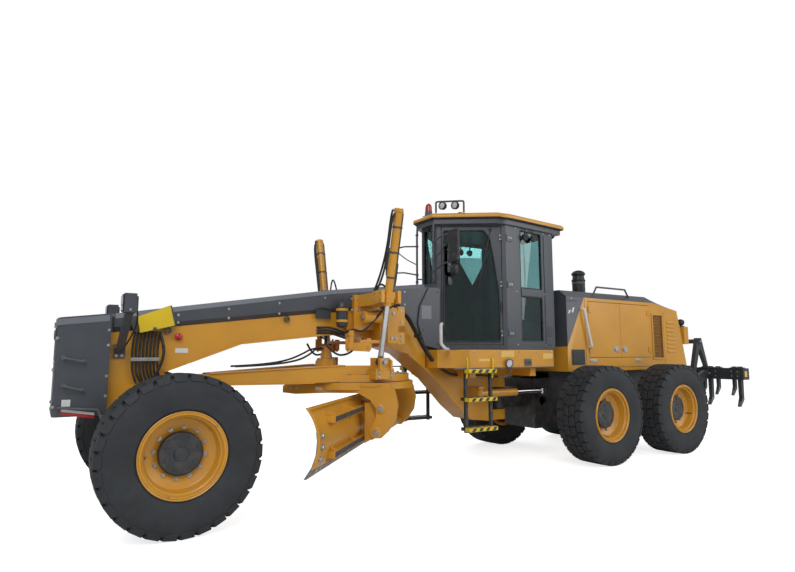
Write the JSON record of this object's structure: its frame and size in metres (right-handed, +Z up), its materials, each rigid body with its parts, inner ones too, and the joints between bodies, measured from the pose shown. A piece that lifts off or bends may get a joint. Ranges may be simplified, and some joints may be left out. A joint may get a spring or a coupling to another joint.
{
  "type": "motor grader",
  "caption": "Articulated six-wheel motor grader with a cab on its front frame, a turning blade under an arched beam and a rear ripper.",
  "frame": {"origin": "on the ground, in the middle of the machine's length and width as parked", "axes": "+X forward, +Y to the machine's left, +Z up"},
  "size_m": [10.49, 3.0888, 3.56],
  "materials": {
    "yellow_paint": "semi-gloss ochre yellow paint",
    "slate_paint": "satin slate grey paint",
    "grey_paint": "satin grey paint",
    "black_paint": "satin black paint",
    "tyre_rubber": "matt black rubber",
    "chrome_rod": "polished chrome",
    "wear_steel": "bare wear steel",
    "glass": "tinted clear glass",
    "lamp_plastic": "gloss black plastic",
    "seat_fabric": "black fabric"
  },
  "bodies": {
    "rear_frame": {"rear_chassis": "black_paint", "tandem_drive": "yellow_paint", "engine_block": "grey_paint", "hood_shell": "yellow_paint", "hood_top": "grey_paint", "intake_stack": "black_paint", "tail_lamps": "yellow_paint"},
    "front": {"front_frame": "yellow_paint", "front_covers": "slate_paint", "headlamps": "lamp_plastic", "lift_saddle": "yellow_paint", "front_axle": "yellow_paint", "cab_base": "yellow_paint", "cab_shell": "slate_paint", "cab_glass": "glass", "cab_interior": "seat_fabric", "cab_steps": "black_paint", "cab_roof": "yellow_paint", "cab_fittings": "lamp_plastic"},
    "ripper": {"ripper": "black_paint"},
    "ripper_barrel": {"ripper_barrel": "black_paint"},
    "ripper_rod": {"ripper_rod": "chrome_rod"},
    "drawbar": {"drawbar": "yellow_paint", "circle_drive": "lamp_plastic"},
    "circle": {"circle": "yellow_paint"},
    "blade_carrier": {"blade_carrier": "yellow_paint"},
    "blade": {"moldboard": "yellow_paint", "cutting_edge": "wear_steel"},
    "knuckle_left": {"knuckle_left": "yellow_paint"},
    "knuckle_right": {"knuckle_right": "yellow_paint"},
    "tie_rod": {"tie_rod": "yellow_paint"},
    "wheel_front_left": {"tyre_front_left": "tyre_rubber", "rim_front_left": "yellow_paint"},
    "wheel_front_right": {"tyre_front_right": "tyre_rubber", "rim_front_right": "yellow_paint"},
    "wheel_middle_left": {"tyre_middle_left": "tyre_rubber", "rim_middle_left": "yellow_paint"},
    "wheel_middle_right": {"tyre_middle_right": "tyre_rubber", "rim_middle_right": "yellow_paint"},
    "wheel_rear_left": {"tyre_rear_left": "tyre_rubber", "rim_rear_left": "yellow_paint"},
    "wheel_rear_right": {"tyre_rear_right": "tyre_rubber", "rim_rear_right": "yellow_paint"},
    "cab_door_left": {"cab_door_left": "slate_paint", "cab_door_left_glass": "glass"},
    "cab_door_right": {"cab_door_right": "slate_paint", "cab_door_right_glass": "glass"},
    "hood_door_front_left": {"hood_door_front_left": "yellow_paint"},
    "hood_door_rear_left": {"hood_door_rear_left": "yellow_paint"},
    "hood_door_front_right": {"hood_door_front_right": "yellow_paint"},
    "hood_door_rear_right": {"hood_door_rear_right": "yellow_paint"},
    "articulation_barrel_left": {"articulation_barrel_left": "yellow_paint"},
    "articulation_rod_left": {"articulation_rod_left": "chrome_rod"},
    "articulation_barrel_right": {"articulation_barrel_right": "yellow_paint"},
    "articulation_rod_right": {"articulation_rod_right": "chrome_rod"},
    "lift_barrel_left": {"lift_barrel_left": "yellow_paint"},
    "lift_rod_left": {"lift_rod_left": "chrome_rod"},
    "lift_barrel_right": {"lift_barrel_right": "yellow_paint"},
    "lift_rod_right": {"lift_rod_right": "chrome_rod"}
  },
  "joints": [
    {"name": "articulation", "type": "hinge", "parent": "rear_frame", "child": "front", "pos_m": [-0.245, 0, 0.86], "axis": [0, 0, 1], "range_deg": [-25, 25]},
    {"name": "spin_front_left", "type": "hinge", "parent": "knuckle_left", "child": "wheel_front_left", "pos_m": [4.305, 1.05, 0.66], "axis": [0, 1, 0], "continuous": true},
    {"name": "spin_front_right", "type": "hinge", "parent": "knuckle_right", "child": "wheel_front_right", "pos_m": [4.305, -1.05, 0.66], "axis": [0, 1, 0], "continuous": true},
    {"name": "spin_middle_left", "type": "hinge", "parent": "rear_frame", "child": "wheel_middle_left", "pos_m": [-1.168, 1.05, 0.66], "axis": [0, 1, 0], "continuous": true},
    {"name": "spin_middle_right", "type": "hinge", "parent": "rear_frame", "child": "wheel_middle_right", "pos_m": [-1.168, -1.05, 0.66], "axis": [0, 1, 0], "continuous": true},
    {"name": "spin_rear_left", "type": "hinge", "parent": "rear_frame", "child": "wheel_rear_left", "pos_m": [-2.85, 1.05, 0.66], "axis": [0, 1, 0], "continuous": true},
    {"name": "spin_rear_right", "type": "hinge", "parent": "rear_frame", "child": "wheel_rear_right", "pos_m": [-2.85, -1.05, 0.66], "axis": [0, 1, 0], "continuous": true},
    {"name": "steer_left", "type": "hinge", "parent": "front", "child": "knuckle_left", "pos_m": [4.305, 0.88, 0.66], "axis": [0, 0, 1], "range_deg": [-45, 45]},
    {"name": "steer_right", "type": "hinge", "parent": "front", "child": "knuckle_right", "pos_m": [4.305, -0.88, 0.66], "axis": [0, 0, 1], "range_deg": [-45, 45]},
    {"name": "tie_rod_pivot", "type": "hinge", "parent": "knuckle_left", "child": "tie_rod", "pos_m": [4.125, 0.88, 0.54], "axis": [0, 0, 1], "range_deg": [-45, 45]},
    {"name": "cab_door_left", "type": "hinge", "parent": "front", "child": "cab_door_left", "pos_m": [0.24119, 0.67577, 2.3], "axis": [0, 0, 1], "range_deg": [0, 95]},
    {"name": "cab_door_right", "type": "hinge", "parent": "front", "child": "cab_door_right", "pos_m": [0.24119, -0.67577, 2.3], "axis": [0, 0, -1], "range_deg": [0, 95]},
    {"name": "hood_door_front_left", "type": "hinge", "parent": "rear_frame", "child": "hood_door_front_left", "pos_m": [-1.515, 0.64, 1.84], "axis": [0, 0, -1], "range_deg": [0, 110]},
    {"name": "hood_door_rear_left", "type": "hinge", "parent": "rear_frame", "child": "hood_door_rear_left", "pos_m": [-3.025, 0.64, 1.84], "axis": [0, 0, 1], "range_deg": [0, 110]},
    {"name": "hood_door_front_right", "type": "hinge", "parent": "rear_frame", "child": "hood_door_front_right", "pos_m": [-1.515, -0.64, 1.84], "axis": [0, 0, 1], "range_deg": [0, 110]},
    {"name": "hood_door_rear_right", "type": "hinge", "parent": "rear_frame", "child": "hood_door_rear_right", "pos_m": [-3.025, -0.64, 1.84], "axis": [0, 0, -1], "range_deg": [0, 110]},
    {"name": "articulation_barrel_swing_left", "type": "hinge", "parent": "front", "child": "articulation_barrel_left", "pos_m": [0.405, 0.37, 0.955], "axis": [0, 0, 1], "range_deg": [-11.15, 11.15]},
    {"name": "articulation_rod_slide_left", "type": "slide", "parent": "articulation_barrel_left", "child": "articulation_rod_left", "axis": [-0.9997, 0.0261, 0], "range_m": [-0.1689, 0.1689]},
    {"name": "articulation_barrel_swing_right", "type": "hinge", "parent": "front", "child": "articulation_barrel_right", "pos_m": [0.405, -0.37, 0.955], "axis": [0, 0, 1], "range_deg": [-11.15, 11.15]},
    {"name": "articulation_rod_slide_right", "type": "slide", "parent": "articulation_barrel_right", "child": "articulation_rod_right", "axis": [-0.9997, -0.0261, 0], "range_m": [-0.1689, 0.1689]},
    {"name": "drawbar_lift", "type": "hinge", "parent": "front", "child": "drawbar", "pos_m": [4.685, 0, 1.13], "axis": [0, -1, 0], "range_deg": [-1.5, 19.6]},
    {"name": "circle_turn", "type": "hinge", "parent": "drawbar", "child": "circle", "pos_m": [2.055, 0, 1.12], "axis": [0, 0, 1], "range_deg": [-0.5, 86]},
    {"name": "blade_pitch", "type": "hinge", "parent": "circle", "child": "blade_carrier", "pos_m": [1.76341, 0.27382, 0.63], "axis": [0.6845, 0.729, 0], "range_deg": [-5, 40]},
    {"name": "blade_side_shift", "type": "slide", "parent": "blade_carrier", "child": "blade", "axis": [0.6845, 0.729, 0], "range_m": [-0.6, 0.6]},
    {"name": "lift_barrel_swing_left", "type": "hinge", "parent": "front", "child": "lift_barrel_left", "pos_m": [2.105, 0.82, 2.11], "axis": [0.9558, -0.2863, 0.0676], "range_deg": [-0.73, 8.38]},
    {"name": "lift_rod_slide_left", "type": "slide", "parent": "lift_barrel_left", "child": "lift_rod_left", "axis": [0, -0.2298, -0.9732], "range_m": [-0.0677, 0.8722]},
    {"name": "lift_barrel_swing_right", "type": "hinge", "parent": "front", "child": "lift_barrel_right", "pos_m": [2.105, -0.82, 2.11], "axis": [-0.9558, -0.2863, -0.0676], "range_deg": [-0.73, 8.38]},
    {"name": "lift_rod_slide_right", "type": "slide", "parent": "lift_barrel_right", "child": "lift_rod_right", "axis": [0, 0.2298, -0.9732], "range_m": [-0.0677, 0.8722]},
    {"name": "ripper_lift", "type": "hinge", "parent": "rear_frame", "child": "ripper", "pos_m": [-4.295, 0, 0.85], "axis": [0, -1, 0], "range_deg": [0, 45]},
    {"name": "ripper_barrel_swing", "type": "hinge", "parent": "rear_frame", "child": "ripper_barrel", "pos_m": [-4.235, 0, 1.18], "axis": [0, -1, 0], "range_deg": [-0.1, 49.14]},
    {"name": "ripper_rod_slide", "type": "slide", "parent": "ripper_barrel", "child": "ripper_rod", "axis": [-0.7328, 0, 0.6805], "range_m": [-0.001, 0.2522]}
  ],
  "couplings": [
    {"joint": "steer_right", "follows": "steer_left", "ratio": 1},
    {"joint": "tie_rod_pivot", "follows": "steer_left", "ratio": -1},
    {"joint": "articulation_barrel_swing_left", "follows": "articulation", "ratio": -0.44212},
    {"joint": "articulation_rod_slide_left", "follows": "articulation", "m_per_rad": -0.38473},
    {"joint": "articulation_barrel_swing_right", "follows": "articulation", "ratio": -0.44212},
    {"joint": "articulation_rod_slide_right", "follows": "articulation", "m_per_rad": 0.38473},
    {"joint": "lift_barrel_swing_left", "follows": "drawbar_lift", "ratio": 0.42243},
    {"joint": "lift_rod_slide_left", "follows": "drawbar_lift", "m_per_rad": 2.5468},
    {"joint": "lift_barrel_swing_right", "follows": "drawbar_lift", "ratio": 0.42243},
    {"joint": "lift_rod_slide_right", "follows": "drawbar_lift", "m_per_rad": 2.5468},
    {"joint": "ripper_barrel_swing", "follows": "ripper_lift", "ratio": 1.0898},
    {"joint": "ripper_rod_slide", "follows": "ripper_lift", "m_per_rad": 0.31979}
  ]
}
